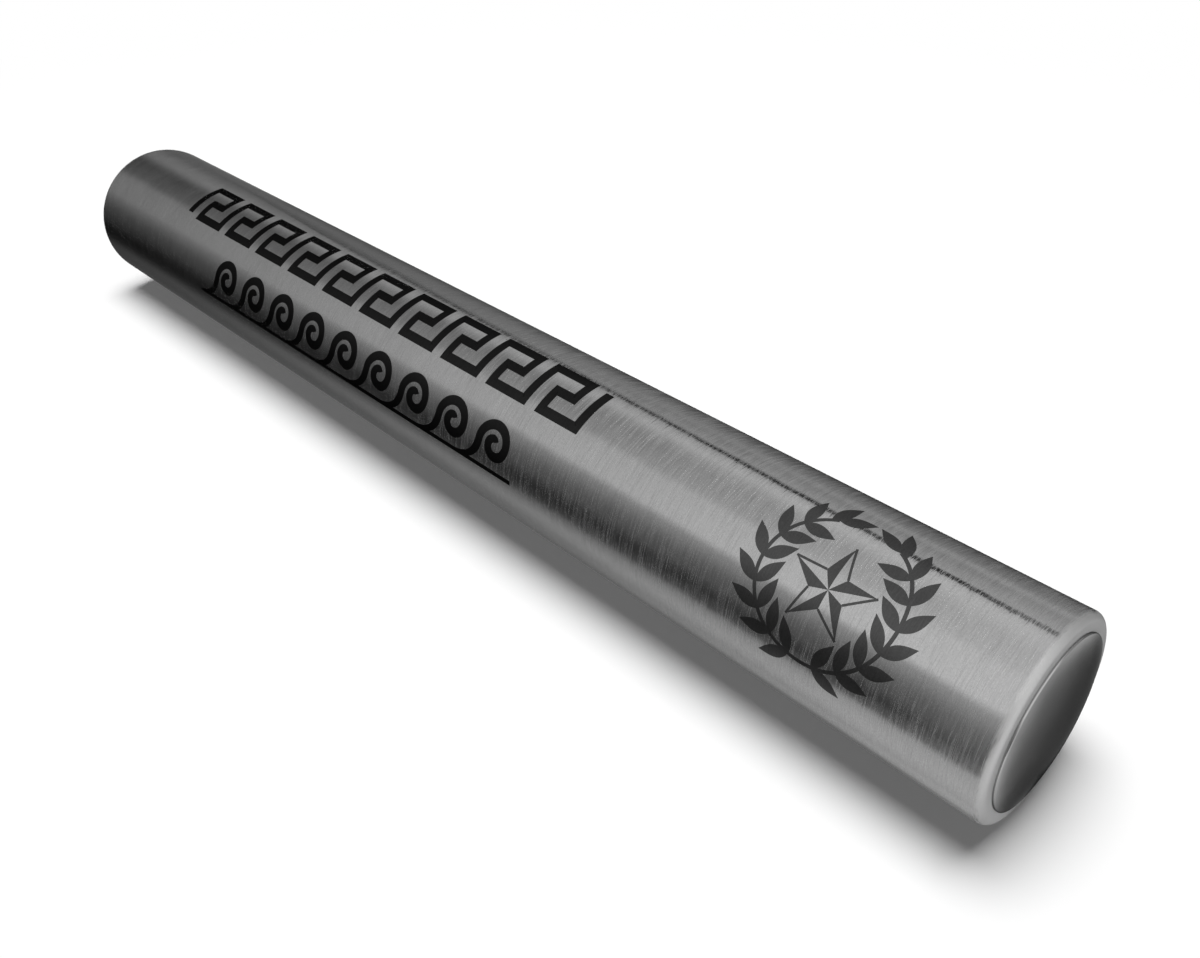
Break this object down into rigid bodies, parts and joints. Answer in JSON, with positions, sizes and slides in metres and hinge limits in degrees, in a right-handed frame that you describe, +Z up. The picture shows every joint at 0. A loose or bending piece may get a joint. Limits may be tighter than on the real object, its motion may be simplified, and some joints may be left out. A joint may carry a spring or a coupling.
{
  "type": "relay baton",
  "caption": "Hollow aluminium tube with rolled ends, closed at each end by a crowned snap-in cap; carried in the hand and passed on in relay races.",
  "frame": {"origin": "centre of the baton, on the tube's axis halfway between its ends", "axes": "+X along the tube towards the front end cap, +Z up with the baton lying on its side"},
  "size_m": [0.2944, 0.038, 0.038],
  "materials": {
    "brushed_aluminium": "brushed round the tube, satin on the rolled ends, with dark etched ornament",
    "satin_aluminium": "smooth satin"
  },
  "bodies": {
    "root": {"baton_tube": "brushed_aluminium", "front_end_cap": "satin_aluminium", "rear_end_cap": "satin_aluminium"}
  },
  "joints": []
}
